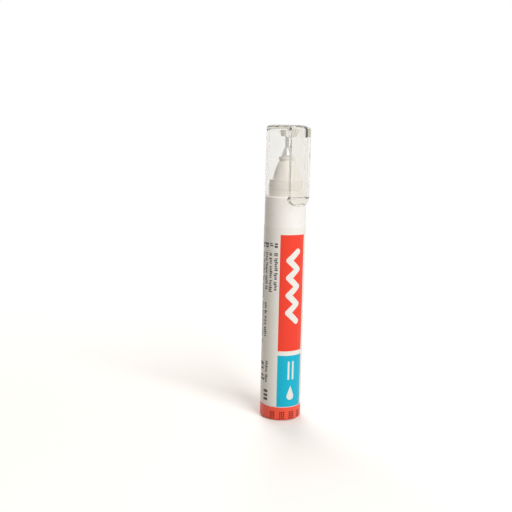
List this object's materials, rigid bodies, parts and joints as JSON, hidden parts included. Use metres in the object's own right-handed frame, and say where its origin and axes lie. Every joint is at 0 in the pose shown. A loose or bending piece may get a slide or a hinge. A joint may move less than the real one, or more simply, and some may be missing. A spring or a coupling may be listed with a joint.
{
  "type": "correction pen",
  "caption": "Correction pen with a squeeze barrel, a clear pull-off cap with pocket clip, a red tail plug, a loose mixing ball and a sprung needle valve behind a thin metal tip.",
  "frame": {"origin": "centre of the tail plug's flat end, on the pen's axis", "axes": "+Z along the pen from the tail to the cap, -Y towards the pocket clip"},
  "size_m": [0.0175, 0.0207, 0.1238],
  "materials": {
    "tail_red": "moulded, satin",
    "barrel_white": "moulded squeeze tube, satin",
    "label_film": "printed film with red and cyan panels",
    "polished_steel": "polished",
    "gasket_grey": "smooth",
    "nozzle_white": "moulded",
    "valve_plastic": "natural",
    "spring_steel": "drawn wire",
    "seal_rubber": "smooth",
    "tip_metal": "fine turned",
    "cap_clear": "clear, moulded",
    "tip_seal_soft": "soft, white"
  },
  "bodies": {
    "pen_body": {"barrel": "barrel_white", "wrap_label": "label_film", "tail_plug": "tail_red", "neck_gasket": "gasket_grey", "nozzle": "nozzle_white", "spring_retainer": "valve_plastic", "valve_spring": "spring_steel", "valve_seat": "valve_plastic", "tip_ferrule": "tip_metal", "tip_tube": "tip_metal"},
    "valve_needle": {"needle": "spring_steel", "needle_plunger": "valve_plastic", "needle_seal": "seal_rubber"},
    "loose_ball": {"mixing_ball": "polished_steel"},
    "pull_cap": {"cap": "cap_clear", "tip_seal": "tip_seal_soft"}
  },
  "joints": [
    {"name": "cap_pull", "type": "slide", "parent": "pen_body", "child": "pull_cap", "axis": [0, 0, 1], "range_m": [0, 0.04]},
    {"name": "needle_press", "type": "slide", "parent": "pen_body", "child": "valve_needle", "axis": [0, 0, -1], "range_m": [0, 0.0007], "stiffness_N_per_m": 150, "springref_m": -0.004, "deforming": ["valve_spring"]},
    {"name": "ball_shake", "type": "slide", "parent": "pen_body", "child": "loose_ball", "axis": [0, 0, 1], "range_m": [0, 0.0796]}
  ]
}
